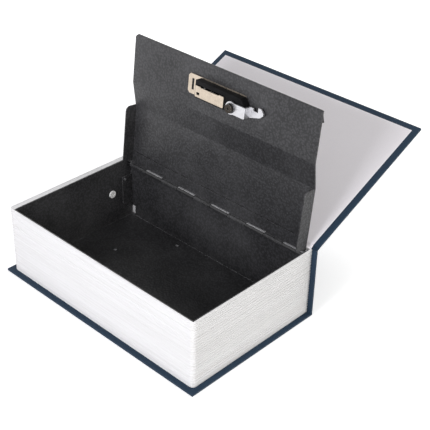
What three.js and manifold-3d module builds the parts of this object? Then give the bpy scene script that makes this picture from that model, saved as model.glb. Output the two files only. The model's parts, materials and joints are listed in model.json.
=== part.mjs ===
import * as THREE from "three";
import { mergeVertices } from "three/addons/utils/BufferGeometryUtils.js";
import Module from "manifold-3d";

// Book safe: a cloth case binding round a moulded page block with a locking steel box in it.
// Millimetres. X runs along the spine, Y from the fore-edge to the spine, Z up.
// The origin is the centre of the back cover's underside.

const wasm = await Module();
wasm.setup();

const degree = Math.PI / 180;

// Clearances
const glueLine = 0.1;
const seatGap = 0.3;
const runningGap = 0.15;
const overrun = 2;

// Case binding
const caseLength = 184;
const caseWidth = 114;
const boardThickness = 1;
const clothThickness = 0.3;
const paperThickness = 0.3;
const turnInWidth = 4.5;
const spineInset = 0.4;
const coverLength = 117.5;
const coverJointGap = 1.7;
const coverPivotInset = 0.9;
const coverClearance = 0.3;
const coverOpenAngle = 155.3 * degree;
const jointClothThickness = 0.3;

// Page block
const blockHeight = 50.4;
const blockSideSetback = 3.5;
const blockFrontSetback = 3.8;
const blockCornerRadius = 3;
const pageCount = 26;
const pageGrooveDepth = 0.35;
const cornerNotchLength = 2.4;
const cornerNotchDepth = 1.6;

// Steel box
const sheet = 0.8;
const boxLeftRim = 4.3;
const boxRightRim = 1.2;
const boxFrontRim = 1;
const boxRearRim = 0.9;
const boxCornerRadius = 1.6;
const boxRimDrop = 0.2;
const shelfDepth = 3.1;
const reliefSlotWidth = 3.8;
const reliefSlotHeight = 7.4;
const tabLength = 8.6;
const tabLow = 10.5;
const tabHigh = 38.5;
const tabBevel = 6;
const plugRadius = 2.9;
const plugHeadThickness = 0.9;
const plugBoreRadius = 1.2;
const plugStemRadius = 2.1;
const plugStemLength = 2.4;
const plugFromSpine = 22.6;
const plugHeight = 28;
const rivetHeadRadius = 2;
const rivetHeadHeight = 0.7;
const rivetShankRadius = 1;
const rivetFromSpine = 8.4;
const rearRivetX = -28;
const frontRivetX = -56;
const frontRivetFromHinge = 36;

// Piano hinge
const knuckleRadius = 1.6;
const knuckleCount = 10;
const knuckleGap = 0.4;
const hingePinRadius = 0.75;
const hingePinOverhang = 0.6;
const leafThickness = 0.7;
const leafNotchClearance = 0.4;
const lidLeafWidth = 8.8;
const hingeLeftGap = 0.85;
const hingeRightGap = 0.35;

// Steel lid
const lidOpenAngle = 96.3 * degree;
const lidSideGap = 4.9;
const lidRightGap = 1.4;
const lidLockFlat = 35.4;
const lidStepRun = 17.9;
const lidStepDepth = 4.1;
const lidEdgeGap = 0.5;
const lidCornerCut = 2;
const lidFoldRadius = 0.6;
const flangeWidth = 8.8;
const flangeFold = 160 * degree;
const flangeRelief = 1.6;
const earDepth = 9.5;
const earStart = 3;
const earCornerRadius = 3.5;
const earSlant = 1.8;

// Combination lock, measured from the lid's free edge and its left and right ends
const lockAxisFromEdge = 19.3;
const lockBracketNear = 8.7;
const lockBracketFar = 5.2;
const lockBracketRight = 6.2;
const lockBracketThickness = 0.7;
const lockFlangeLength = 12;
const lockFlangeCorner = 1.6;
const lockSlotFromEnd = 4.3;
const lockSlotWidth = 2;
const lockSlotLength = 7.9;
const lockHousingNear = 8.1;
const lockHousingFar = 4.1;
const lockHousingDepth = 5.1;
const lockHousingWall = 0.9;
const lockHousingEndRadius = 10.2;
const lockCoverLength = 25.2;
const lockCoverWidth = 7.7;
const lockCoverThickness = 0.8;
const lockCoverCorner = 0.6;
const lockCoverRecess = 0.5;
const lockCoverRecessShare = 0.65;
const lockCoverSlotWidth = 2.6;
const lockCoverSlotLength = 1.8;
const lockCoverMargin = 1;
const dialRowOffset = 0.9;
const dialCount = 3;
const dialRadius = 4;
const dialWidth = 4.4;
const dialPitch = 7.4;
const dialNumbers = 10;
const dialGrooveDepth = 0.35;
const dialAxleRadius = 0.6;
const dialAxleHeight = 1.7;
const escutcheonThickness = 1;
const escutcheonWidth = 17;
const escutcheonCorner = 3;
const escutcheonMargin = 4;
const windowWidth = 5.4;
const windowLength = 7.6;

// Latch: knob, spindle and lever
const latchTurn = 43 * degree;
const latchFromDials = 19.8;
const lockOffset = 3.4;
const spindleRadius = 2;
const knobRadius = 6.2;
const knobHeight = 2.6;
const knobGripWidth = 3;
const knobFluteRadius = 1.1;
const knobFlutes = 12;
const leverHubRadius = 4.4;
const leverArmWidth = 7.6;
const leverThickness = 1.2;
const leverHeight = 6.6;
const leverEndHeight = 1.5;
const leverArmLength = 11;
const leverJoggleRun = 1.5;
const leverLength = 23.2;
const leverHookRise = 5.2;
const leverHookWidth = 4.4;
const leverNotchWidth = 3.9;
const leverNotchDepth = 1.8;
const screwHeadRadius = 2.9;
const screwHeadHeight = 1.7;
const screwSocketRadius = 1.3;
const screwSocketDepth = 0.7;
const screwShankRadius = 1.1;
const washerRadius = 3.5;
const washerThickness = 0.5;
const keeperLength = 13;
const keeperReach = 3.9;
const keeperThickness = 0.9;
const keeperDrop = 9;

// Smoothness of round forms
const arcSteps = 4;
const smallRoundSides = 16;
const knuckleSides = 14;
const weldDistance = 0.0001;

// Outlines

/** A closed outline through the given points. */
function outline(points) {
  return new THREE.Shape(points.map(([across, up]) => new THREE.Vector2(across, up)));
}

/** A rectangle between two opposite corners. */
function rectangle(left, low, right, high) {
  return outline([[left, low], [right, low], [right, high], [left, high]]);
}

/** A rectangle whose four corners share one radius. */
function roundedRectangle(left, low, right, high, radius) {
  const shape = new THREE.Shape();
  shape.absarc(right - radius, low + radius, radius, -Math.PI / 2, 0, false);
  shape.absarc(right - radius, high - radius, radius, 0, Math.PI / 2, false);
  shape.absarc(left + radius, high - radius, radius, Math.PI / 2, Math.PI, false);
  shape.absarc(left + radius, low + radius, radius, Math.PI, 1.5 * Math.PI, false);
  return shape;
}

/** A regular polygon that stands in for a circle. */
function circle(across, up, radius, sides = smallRoundSides) {
  const points = [];
  for (let side = 0; side < sides; side += 1) {
    const angle = ((side + 0.5) * 2 * Math.PI) / sides;
    points.push([across + radius * Math.cos(angle), up + radius * Math.sin(angle)]);
  }
  return outline(points);
}

/** A circle with evenly spaced round flutes cut into its rim. */
function flutedCircle(across, up, radius, flutes, depth) {
  const points = [];
  const stepsPerFlute = 4;
  for (let step = 0; step < flutes * stepsPerFlute; step += 1) {
    const angle = (step * 2 * Math.PI) / (flutes * stepsPerFlute);
    const inset = step % stepsPerFlute === 0 ? depth : 0;
    points.push([across + (radius - inset) * Math.cos(angle), up + (radius - inset) * Math.sin(angle)]);
  }
  return outline(points);
}

// Solids from outlines

function extrude(shape, length) {
  return new THREE.ExtrudeGeometry(shape, { depth: length, bevelEnabled: false, curveSegments: arcSteps });
}

/** Extrudes an outline drawn in X and Y upwards between two heights. */
function slab(shape, low, high) {
  return extrude(shape, high - low).translate(0, 0, low);
}

/** Extrudes an outline drawn in Y and Z between two places along X. */
function bar(shape, left, right) {
  const turn = new THREE.Matrix4().makeBasis(
    new THREE.Vector3(0, 1, 0),
    new THREE.Vector3(0, 0, 1),
    new THREE.Vector3(1, 0, 0),
  );
  return extrude(shape, right - left).applyMatrix4(turn).translate(left, 0, 0);
}

/** Extrudes an outline drawn in X and Z between two places along Y. */
function plank(shape, front, back) {
  const turn = new THREE.Matrix4().makeBasis(
    new THREE.Vector3(1, 0, 0),
    new THREE.Vector3(0, 0, 1),
    new THREE.Vector3(0, -1, 0),
  );
  return extrude(shape, back - front).applyMatrix4(turn).translate(0, back, 0);
}

function box(left, front, low, right, back, high) {
  return slab(rectangle(left, front, right, back), low, high);
}

/** Turns a closed geometry into a solid that can be joined and cut. */
function solid(geometry) {
  const bare = geometry.clone();
  bare.deleteAttribute("normal");
  bare.deleteAttribute("uv");
  const merged = mergeVertices(bare, weldDistance);
  const mesh = new wasm.Mesh({
    numProp: 3,
    vertProperties: new Float32Array(merged.attributes.position.array),
    triVerts: new Uint32Array(merged.index.array),
  });
  return new wasm.Manifold(mesh);
}

/** Turns a solid back into a geometry. */
function geometryOf(body) {
  const mesh = body.getMesh();
  const geometry = new THREE.BufferGeometry();
  geometry.setAttribute("position", new THREE.BufferAttribute(new Float32Array(mesh.vertProperties), 3));
  geometry.setIndex(new THREE.BufferAttribute(new Uint32Array(mesh.triVerts), 1));
  geometry.computeVertexNormals();
  return geometry;
}

/** Joins the first list of geometries and cuts the second list out of them. */
function build(parts, cuts = []) {
  let body = solid(parts[0]);
  for (const part of parts.slice(1)) {
    body = body.add(solid(part));
  }
  for (const cut of cuts) {
    body = body.subtract(solid(cut));
  }
  return geometryOf(body);
}

/** Closes a stack of rings, each with the same number of points, into one solid. */
function loft(rings) {
  const sides = rings[0].length;
  const positions = rings.flat(2);
  const low = rings[0];
  const high = rings[rings.length - 1];
  const centre = (ring) => [0, 1, 2].map((axis) => ring.reduce((sum, point) => sum + point[axis], 0) / sides);
  positions.push(...centre(low), ...centre(high));
  const lowCentre = rings.length * sides;
  const highCentre = lowCentre + 1;
  const faces = [];
  for (let side = 0; side < sides; side += 1) {
    const next = (side + 1) % sides;
    for (let ring = 0; ring + 1 < rings.length; ring += 1) {
      const here = ring * sides;
      const above = here + sides;
      faces.push(here + side, here + next, above + next);
      faces.push(here + side, above + next, above + side);
    }
    const top = (rings.length - 1) * sides;
    faces.push(lowCentre, next, side);
    faces.push(highCentre, top + side, top + next);
  }
  const geometry = new THREE.BufferGeometry();
  geometry.setAttribute("position", new THREE.Float32BufferAttribute(positions, 3));
  geometry.setIndex(faces);
  return geometry;
}

// Materials

function material(color, roughness, metalness = 0) {
  return new THREE.MeshStandardMaterial({ color, roughness, metalness });
}

const bookCloth = material(0x23405c, 0.85);
const greyboard = material(0x8d857a, 0.95);
const endPaper = material(0xf0ebee, 0.8);
const pagePlastic = material(0xf2f1f0, 0.6);
const hammertone = material(0x2b2b2e, 0.45, 0.3);
const bareZinc = material(0xb9b9bd, 0.35, 0.9);
const nickel = material(0xcfc3b4, 0.3, 0.9);
const blackPlastic = material(0x141416, 0.5);
const whitePlastic = material(0xdededc, 0.5);
const darkSteel = material(0x3a3a3d, 0.4, 0.7);

// Places shared by the pieces

const caseLeft = -caseLength / 2;
const caseRight = caseLength / 2;
const caseFront = -caseWidth / 2;
const caseBack = caseWidth / 2;
const boardLow = clothThickness + glueLine;
const boardHigh = boardLow + boardThickness;
const caseFloor = boardHigh + glueLine + paperThickness;

const blockLow = caseFloor + glueLine;
const blockTop = blockLow + blockHeight;
const blockLeft = caseLeft + blockSideSetback;
const blockRight = caseRight - blockSideSetback;
const blockFront = caseFront + blockFrontSetback;
const spineInner = caseBack - clothThickness - glueLine - boardThickness - glueLine;
const blockBack = spineInner - glueLine;

const boxLeft = blockLeft + boxLeftRim;
const boxRight = blockRight - boxRightRim;
const boxFront = blockFront + boxFrontRim;
const boxBack = blockBack - boxRearRim;
const boxLow = blockLow + glueLine;
const boxTop = blockTop - boxRimDrop;
const boxFloor = boxLow + sheet;

const hingeZ = boxTop - sheet - knuckleRadius;
const hingeY = boxBack - shelfDepth - knuckleRadius - leafNotchClearance;
const lidLeft = boxLeft + lidSideGap;
const lidRight = boxRight - lidRightGap;
const hingeLeft = lidLeft + hingeLeftGap;
const hingeRight = lidRight - hingeRightGap;
const knucklePitch = (hingeRight - hingeLeft) / knuckleCount;
const leafTop = knuckleRadius - seatGap;
const leafLow = leafTop - leafThickness;
const leafNotch = knuckleRadius + leafNotchClearance;
const shelfTop = hingeZ + leafLow - seatGap;
const shelfFront = boxBack - shelfDepth;

// Case binding

const caseBoard = {
  left: caseLeft + clothThickness + glueLine,
  right: caseRight - clothThickness - glueLine,
};
const backBoardFront = caseFront + clothThickness + glueLine;
const spineOuter = caseBack - clothThickness - glueLine;
const spineTop = blockTop - spineInset;

function backBoard() {
  return box(caseBoard.left, backBoardFront, boardLow, caseBoard.right, spineInner - glueLine, boardHigh);
}

function spineBoard() {
  return box(caseBoard.left, spineInner, boardLow, caseBoard.right, spineOuter, spineTop - glueLine);
}

/** Cloth glued round the back board and the spine, and turned in round the end paper. */
function caseCloth() {
  const backWrap = box(caseLeft, caseFront, 0, caseRight, caseBack, caseFloor);
  const spineWrap = box(caseLeft, spineOuter, 0, caseRight, caseBack, spineTop);
  const endWall = clothThickness;
  const leftEnd = box(caseLeft, spineInner, 0, caseLeft + endWall, caseBack, spineTop);
  const rightEnd = box(caseRight - endWall, spineInner, 0, caseRight, caseBack, spineTop);
  const boardRoom = box(
    caseLeft + endWall, caseFront + clothThickness, clothThickness,
    caseRight - endWall, caseBack - clothThickness, boardHigh + glueLine,
  );
  const paperRoom = box(
    caseLeft + turnInWidth, caseFront + turnInWidth, boardHigh,
    caseRight - turnInWidth, spineInner, caseFloor + overrun,
  );
  const spineRoom = box(
    caseLeft + endWall, spineInner - glueLine, boardHigh,
    caseRight - endWall, caseBack - clothThickness, blockTop + overrun,
  );
  return build([backWrap, spineWrap, leftEnd, rightEnd], [boardRoom, paperRoom, spineRoom]);
}

function backEndPaper() {
  return box(
    caseLeft + turnInWidth + glueLine, caseFront + turnInWidth + glueLine, boardHigh + glueLine,
    caseRight - turnInWidth - glueLine, blockBack, caseFloor,
  );
}

/** The front cover is drawn shut, with its hinge line on the X axis and its fore-edge towards -Y. */
const pivotY = caseBack - coverPivotInset;
const pivotZ = blockTop + coverJointGap / 2;
const coverLow = blockTop + coverClearance - pivotZ;
const coverHigh = coverLow + caseFloor;
const coverFront = -coverLength;
const coverBack = -coverJointGap;

function frontBoard() {
  return box(
    caseBoard.left, coverFront + clothThickness + glueLine, coverLow + paperThickness + glueLine,
    caseBoard.right, coverBack - glueLine, coverLow + paperThickness + glueLine + boardThickness,
  );
}

/** Cloth over the front board, turned in along the three free edges. */
function frontCloth() {
  const wrap = box(caseLeft, coverFront, coverLow, caseRight, coverBack, coverHigh);
  const boardRoom = box(
    caseLeft + clothThickness, coverFront + clothThickness, coverLow + paperThickness,
    caseRight - clothThickness, coverBack + overrun, coverHigh - clothThickness,
  );
  const paperRoom = box(
    caseLeft + turnInWidth, coverFront + turnInWidth, coverLow - overrun,
    caseRight - turnInWidth, coverBack + overrun, coverLow + paperThickness + glueLine,
  );
  return build([wrap], [boardRoom, paperRoom]);
}

function frontEndPaper() {
  return box(
    caseLeft + turnInWidth + glueLine, coverFront + turnInWidth + glueLine, coverLow,
    caseRight - turnInWidth - glueLine, coverBack, coverLow + paperThickness,
  );
}

/** The free strip of cloth that carries on from the spine round the hinge line of the cover. */
function jointCloth() {
  const shape = new THREE.Shape();
  const outer = coverPivotInset;
  const inner = outer - jointClothThickness;
  shape.moveTo(pivotY + inner, spineTop + glueLine);
  shape.lineTo(pivotY + outer, spineTop + glueLine);
  shape.lineTo(pivotY + outer, pivotZ);
  shape.absarc(pivotY, pivotZ, outer, 0, Math.PI / 2, false);
  shape.absarc(pivotY, pivotZ, inner, Math.PI / 2, 0, true);
  return bar(shape, caseLeft, caseRight);
}

// Page block

/** One level of the page block: a rectangle with two rounded corners at the fore-edge. */
function blockRing(inset, height) {
  const radius = blockCornerRadius;
  const left = blockLeft + inset;
  const right = blockRight - inset;
  const front = blockFront + inset;
  const ring = [[right, blockBack, height], [left, blockBack, height]];
  for (let step = 0; step <= arcSteps; step += 1) {
    const angle = Math.PI + (step / arcSteps) * (Math.PI / 2);
    const across = left + radius + radius * Math.cos(angle);
    ring.push([across, front + radius + radius * Math.sin(angle), height]);
  }
  for (let step = 0; step <= arcSteps; step += 1) {
    const angle = 1.5 * Math.PI + (step / arcSteps) * (Math.PI / 2);
    const across = right - radius + radius * Math.cos(angle);
    ring.push([across, front + radius + radius * Math.sin(angle), height]);
  }
  return ring;
}

/** A white frame whose three open sides are ribbed like the edges of a stack of leaves. */
function pageBlock() {
  const pitch = blockHeight / pageCount;
  const rings = [];
  for (let page = 0; page < pageCount; page += 1) {
    const low = blockLow + page * pitch;
    rings.push(blockRing(pageGrooveDepth, low));
    rings.push(blockRing(0, low + pitch / 4));
    rings.push(blockRing(0, low + (pitch * 3) / 4));
  }
  rings.push(blockRing(0, blockTop));
  const room = box(
    boxLeft - glueLine, boxFront - glueLine, blockLow - overrun,
    boxRight + glueLine, boxBack + glueLine, blockTop + overrun,
  );
  const plugRoom = bar(
    circle(caseBack - plugFromSpine, plugHeight, plugStemRadius + seatGap),
    boxLeft - plugStemLength - seatGap, boxLeft + sheet,
  );
  const notchRight = boxRight - cornerNotchDepth / 2;
  const cornerNotch = box(
    notchRight - cornerNotchLength, boxFront - cornerNotchDepth, blockTop - cornerNotchDepth,
    notchRight, boxFront + overrun, blockTop + overrun,
  );
  return build([loft(rings)], [room, plugRoom, cornerNotch]);
}

// Steel box

/** Folded sheet tray whose rear wall bends forward into the shelf that carries the hinge. */
function steelBox() {
  const left = boxLeft + sheet;
  const right = boxRight - sheet;
  const front = boxFront + sheet;
  const back = boxBack - sheet;
  const innerRadius = boxCornerRadius - sheet;
  const shell = slab(roundedRectangle(boxLeft, boxFront, boxRight, boxBack, boxCornerRadius), boxLow, boxTop);
  const room = slab(roundedRectangle(left, front, right, back, innerRadius), boxFloor, boxTop + overrun);
  const rearCut = box(left, shelfFront, shelfTop, right, boxBack + overrun, boxTop + overrun);
  const shelf = box(
    boxLeft + sheet / 2, shelfFront, shelfTop - sheet,
    boxRight - sheet / 2, back + sheet / 2, shelfTop,
  );
  const reliefSlot = box(
    left, back - sheet / 2, boxFloor + sheet,
    left + reliefSlotWidth, boxBack + overrun, boxFloor + sheet + reliefSlotHeight,
  );
  const plugY = caseBack - plugFromSpine;
  const plugCircle = circle(plugY, plugHeight, plugStemRadius + runningGap);
  const plugHole = bar(plugCircle, boxLeft - overrun, left + overrun);
  const rivetHoles = rivetPlaces().map(([x, y]) => (
    slab(circle(x, y, rivetShankRadius + runningGap), boxLow - overrun, boxFloor + overrun)
  ));
  let body = solid(shell).subtract(solid(room)).subtract(solid(rearCut));
  body = body.add(solid(shelf));
  for (const cut of [reliefSlot, plugHole, ...rivetHoles]) {
    body = body.subtract(solid(cut));
  }
  return geometryOf(body);
}

/** The rear wall's end is folded forward as a tab that lies against the left wall. */
function cornerTab() {
  const left = boxLeft + sheet + glueLine;
  const back = boxBack - boxCornerRadius;
  const front = back - tabLength;
  const shape = outline([
    [back, tabLow],
    [back, tabHigh],
    [front, tabHigh],
    [front, tabLow + tabBevel],
    [back - tabBevel / 2, tabLow],
  ]);
  return bar(shape, left, left + sheet);
}

/** Tubular rivet that holds the tab to the wall. */
function tabRivet() {
  const left = boxLeft + sheet + glueLine + sheet + glueLine;
  const y = boxBack - boxCornerRadius - tabLength + rivetHeadRadius;
  return bar(circle(y, tabHigh - rivetHeadRadius, rivetShankRadius), left, left + rivetHeadHeight);
}

/** Hollow plastic plug pushed through the left wall from inside. */
function wallPlug() {
  const y = caseBack - plugFromSpine;
  const face = boxLeft + sheet + glueLine;
  const head = bar(circle(y, plugHeight, plugRadius), face, face + plugHeadThickness);
  const stemEnd = boxLeft - plugStemLength;
  const stem = bar(circle(y, plugHeight, plugStemRadius), stemEnd, face + plugHeadThickness / 2);
  const bore = bar(circle(y, plugHeight, plugBoreRadius), boxLeft, face + plugHeadThickness + overrun);
  return build([head, stem], [bore]);
}

/** One rivet near the hinge side and one further forward hold the box down. */
function rivetPlaces() {
  const y = boxBack - rivetFromSpine + rivetHeadRadius;
  return [[rearRivetX, y], [frontRivetX, y - frontRivetFromHinge]];
}

function floorRivet([x, y]) {
  const seat = boxFloor + glueLine;
  const profile = [
    new THREE.Vector2(0, boxLow),
    new THREE.Vector2(rivetShankRadius, boxLow),
    new THREE.Vector2(rivetShankRadius, seat),
    new THREE.Vector2(rivetHeadRadius, seat),
    new THREE.Vector2(rivetHeadRadius * Math.cos(Math.PI / 6), seat + rivetHeadHeight / 2),
    new THREE.Vector2(rivetHeadRadius / 2, seat + rivetHeadHeight),
    new THREE.Vector2(0, seat + rivetHeadHeight),
  ];
  const geometry = new THREE.LatheGeometry(profile, smallRoundSides);
  return geometry.rotateX(Math.PI / 2).translate(x, y, 0);
}

/** Bracket inside the front wall; the latch lever turns under its lip. */
function keeper() {
  const tipRadius = leverLength - leverHookWidth / 2;
  const tipShift = tipRadius * Math.cos(latchTurn) - (leverHookRise / 2) * Math.sin(latchTurn);
  const left = latchX + tipShift - keeperLength / 2;
  const wall = boxFront + sheet + glueLine;
  const lipTop = hingeZ + lidRecessInner - seatGap;
  const shape = outline([
    [wall, lipTop - keeperDrop],
    [wall + keeperThickness, lipTop - keeperDrop],
    [wall + keeperThickness, lipTop - keeperThickness],
    [wall + keeperReach, lipTop - keeperThickness],
    [wall + keeperReach, lipTop],
    [wall, lipTop],
  ]);
  return bar(shape, left, left + keeperLength);
}

// Piano hinge, drawn round its axis with the lid shut

/** One leaf of the hinge with every second knuckle rolled from its edge. */
function hingeLeaf(side, firstKnuckle, width, cuts = []) {
  const edge = side * leafNotch;
  const farEdge = edge + side * width;
  const webEdge = edge + side * leafThickness;
  const leaf = rectangle(Math.min(edge, farEdge), leafLow, Math.max(edge, farEdge), leafTop);
  const web = rectangle(Math.min(0, webEdge), leafLow, Math.max(0, webEdge), leafTop);
  const parts = [bar(leaf, hingeLeft, hingeRight)];
  for (let index = firstKnuckle; index < knuckleCount; index += 2) {
    const left = hingeLeft + index * knucklePitch + knuckleGap / 2;
    const right = left + knucklePitch - knuckleGap;
    parts.push(bar(circle(0, 0, knuckleRadius, knuckleSides), left, right));
    parts.push(bar(web, left, right));
  }
  const bore = circle(0, 0, hingePinRadius + runningGap, knuckleSides);
  return build(parts, [bar(bore, hingeLeft - overrun, hingeRight + overrun), ...cuts]);
}

/** The lid's leaf, cut back at both ends to clear the lid's ears. */
function hingeLidLeaf() {
  const far = -leafNotch - lidLeafWidth - overrun;
  const near = -earStart + seatGap;
  const low = leafLow - overrun;
  const high = leafTop + overrun;
  const leftEar = box(hingeLeft - overrun, far, low, lidLeft + sheet + seatGap, near, high);
  const rightEar = box(lidRight - sheet - seatGap, far, low, hingeRight + overrun, near, high);
  return hingeLeaf(-1, 0, lidLeafWidth, [leftEar, rightEar]);
}

function hingePin() {
  const shape = circle(0, 0, hingePinRadius, knuckleSides);
  return bar(shape, hingeLeft - hingePinOverhang, hingeRight + hingePinOverhang);
}

// Steel lid, drawn shut: its hinge axis on the X axis, its free edge towards -Y, its outside up

const lidLength = hingeY - (boxFront + sheet + lidEdgeGap);
const lidInner = knuckleRadius;
const lidOuter = lidInner + sheet;
const lean = lidOpenAngle - Math.PI / 2;
const lidEdge = (leafTop + seatGap + lidOuter * Math.sin(lean)) / Math.cos(lean);
const lidRecessInner = lidInner - lidStepDepth;
const lidRecessOuter = lidRecessInner + sheet;
const lidStepEnd = lidLength - lidLockFlat;
const lidLowerFlat = lidStepEnd - lidStepRun;

/** The outline of a sheet of even thickness that follows a line of points. */
function stripOutline(points, thickness) {
  const above = [];
  const below = [];
  points.forEach((point, index) => {
    const before = points[Math.max(index - 1, 0)];
    const after = points[Math.min(index + 1, points.length - 1)];
    const incoming = (index > 0 ? point.clone().sub(before) : after.clone().sub(point)).normalize();
    const outgoing = (index + 1 < points.length ? after.clone().sub(point) : incoming.clone()).normalize();
    const along = incoming.clone().add(outgoing).normalize();
    const offset = new THREE.Vector2(-along.y, along.x).multiplyScalar(thickness / 2 / along.dot(incoming));
    above.push(point.clone().add(offset));
    below.unshift(point.clone().sub(offset));
  });
  return new THREE.Shape([...above, ...below]);
}

/** Middle line of the lid's sheet: flat, stepped down, flat, and folded back at the free edge. */
function lidLine() {
  const middle = sheet / 2;
  const line = new THREE.Path();
  line.moveTo(-lidEdge, lidInner + middle);
  line.lineTo(-lidLowerFlat, lidInner + middle);
  line.lineTo(-lidStepEnd, lidRecessInner + middle);
  const centreY = -lidLength + middle + lidFoldRadius;
  const centreZ = lidRecessInner + middle + lidFoldRadius;
  const end = -Math.PI / 2 - flangeFold;
  line.absarc(centreY, centreZ, lidFoldRadius, -Math.PI / 2, end, true);
  const tipY = centreY + lidFoldRadius * Math.cos(end) - flangeWidth * Math.cos(flangeFold);
  const tipZ = centreZ + lidFoldRadius * Math.sin(end) + flangeWidth * Math.sin(flangeFold);
  line.lineTo(tipY, tipZ);
  return line.getPoints(arcSteps);
}

/** Side ear of the lid: level at the flat, rounded at the far corner, slanted near the hinge. */
function ear(left) {
  const top = lidInner + sheet / 2;
  const tip = lidInner - earDepth;
  const far = -lidLowerFlat;
  const shape = new THREE.Shape();
  shape.moveTo(-earStart, top);
  shape.lineTo(far, top);
  shape.lineTo(far, tip + earCornerRadius);
  shape.absarc(far + earCornerRadius, tip + earCornerRadius, earCornerRadius, Math.PI, 1.5 * Math.PI, false);
  shape.lineTo(-earStart - earSlant, tip);
  shape.lineTo(-earStart, lidInner - sheet);
  return bar(shape, left, left + sheet);
}

function lidPanel() {
  const sheetBody = bar(stripOutline(lidLine(), sheet), lidLeft, lidRight);
  const cornerCut = slab(
    outline([
      [lidLeft - overrun, -lidLength - overrun],
      [lidLeft + lidCornerCut, -lidLength - overrun],
      [lidLeft + lidCornerCut, -lidLength],
      [lidLeft, -lidLength + lidCornerCut],
      [lidLeft - overrun, -lidLength + lidCornerCut],
    ]),
    lidRecessInner - overrun,
    lidOuter + overrun,
  );
  const flangeCut = box(
    lidRight - flangeRelief, -lidLength - overrun, lidRecessOuter,
    lidRight + overrun, -lidLength + flangeWidth + overrun, lidOuter + earDepth,
  );
  const windows = dialPlaces().map((x) => windowCut(x, lidRecessInner - overrun, lidRecessOuter + overrun));
  const spindleHole = slab(spindleCircle(), lidRecessInner - overrun, lidOuter);
  const parts = [sheetBody, ear(lidLeft), ear(lidRight - sheet)];
  return build(parts, [cornerCut, flangeCut, ...windows, spindleHole]);
}

// Combination lock, on the inner face of the lid's stepped-down part

const lockCentre = (lidLeft + lidRight) / 2 - lockOffset;
const latchX = lockCentre + latchFromDials;
const latchY = lockAxisFromEdge - lidLength;
const dialY = latchY - dialRowOffset;
const bracketTop = lidRecessInner - seatGap;
const bracketLow = bracketTop - lockBracketThickness;
const housingTop = bracketLow - glueLine;
const housingLow = housingTop - lockHousingDepth;
const housingLeft = lockCentre - lockCoverLength / 2 - lockCoverMargin;
const chamberHalf = (dialCount * dialPitch) / 2;
const dialAxleZ = lidRecessInner - dialAxleHeight;

function dialPlaces() {
  const places = [];
  for (let dial = 0; dial < dialCount; dial += 1) {
    places.push(lockCentre + (dial - (dialCount - 1) / 2) * dialPitch);
  }
  return places;
}

/** A window that one dial shows through. */
function windowCut(x, low, high) {
  return box(
    x - windowWidth / 2, dialY - windowLength / 2, low,
    x + windowWidth / 2, dialY + windowLength / 2, high,
  );
}

/** Outline of the hole that the latch spindle turns in. */
function spindleCircle() {
  return circle(latchX, latchY, spindleRadius + runningGap);
}

/** Room for the dials, cut through whatever stands between the two heights. */
function dialRoom(low, high) {
  return box(
    lockCentre - chamberHalf, dialY - dialRadius - seatGap, low,
    lockCentre + chamberHalf, dialY + dialRadius + seatGap, high,
  );
}

/** Plated bracket: a flat plate under the housing, with a slotted flange at its left end. */
function lockBracket() {
  const left = lockCentre - chamberHalf - lockFlangeLength - lockHousingWall * 2;
  const right = latchX + lockBracketRight;
  const near = latchY - lockBracketNear;
  const far = latchY + lockBracketFar;
  const low = bracketLow - overrun;
  const high = bracketTop + overrun;
  const base = slab(
    outline([
      [left + lockFlangeCorner, near],
      [right, near],
      [right, far],
      [left + lockFlangeCorner, far],
      [left, far - lockFlangeCorner],
      [left, near + lockFlangeCorner],
    ]),
    bracketLow,
    bracketTop,
  );
  const slotX = left + lockSlotFromEnd;
  const slotY = (near + far) / 2;
  const slot = box(
    slotX - lockSlotWidth / 2, slotY - lockSlotLength / 2, low,
    slotX + lockSlotWidth / 2, slotY + lockSlotLength / 2, high,
  );
  const spindleHole = slab(spindleCircle(), low, high);
  return build([base], [dialRoom(low, high), slot, spindleHole]);
}

/** Black moulding whose open chamber holds the dials; its right end is round about the spindle. */
function lockHousing() {
  const nearAngle = Math.asin(lockHousingNear / lockHousingEndRadius);
  const farAngle = Math.asin(lockHousingFar / lockHousingEndRadius);
  const shape = new THREE.Shape();
  shape.moveTo(housingLeft, latchY - lockHousingNear);
  shape.lineTo(latchX + lockHousingEndRadius * Math.cos(nearAngle), latchY - lockHousingNear);
  shape.absarc(latchX, latchY, lockHousingEndRadius, -nearAngle, farAngle, false);
  shape.lineTo(housingLeft, latchY + lockHousingFar);
  const low = housingLow - overrun;
  const high = housingTop + overrun;
  const axleSlot = box(
    lockCentre - chamberHalf - lockHousingWall, dialY - dialAxleRadius - runningGap,
    dialAxleZ - dialAxleRadius - runningGap,
    lockCentre + chamberHalf + lockHousingWall, dialY + dialAxleRadius + runningGap, high,
  );
  const spindleHole = slab(spindleCircle(), low, high);
  return build([slab(shape, housingLow, housingTop)], [dialRoom(low, high), axleSlot, spindleHole]);
}

/** Plated plate over the dials, with a shallow recess along one edge and a small slot at its left end. */
function lockCover() {
  const left = lockCentre - lockCoverLength / 2;
  const near = dialY - lockCoverWidth / 2;
  const far = near + lockCoverWidth;
  const high = housingLow - glueLine;
  const low = high - lockCoverThickness;
  const plate = slab(roundedRectangle(left, near, left + lockCoverLength, far, lockCoverCorner), low, high);
  const recessHalf = (lockCoverLength / 2) * lockCoverRecessShare;
  const recess = box(
    lockCentre - recessHalf, near - overrun, low - overrun,
    lockCentre + recessHalf, near + lockCoverRecess, high + overrun,
  );
  const slotX = left + lockCoverSlotWidth;
  const slotY = far - lockCoverWidth / 3;
  const slot = box(
    slotX - lockCoverSlotWidth / 2, slotY - lockCoverSlotLength / 2, low - overrun,
    slotX + lockCoverSlotWidth / 2, slotY + lockCoverSlotLength / 2, high + overrun,
  );
  return build([plate], [recess, slot]);
}

function dialAxle() {
  const reach = chamberHalf + lockHousingWall - runningGap;
  return bar(circle(dialY, dialAxleZ, dialAxleRadius), lockCentre - reach, lockCentre + reach);
}

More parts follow.
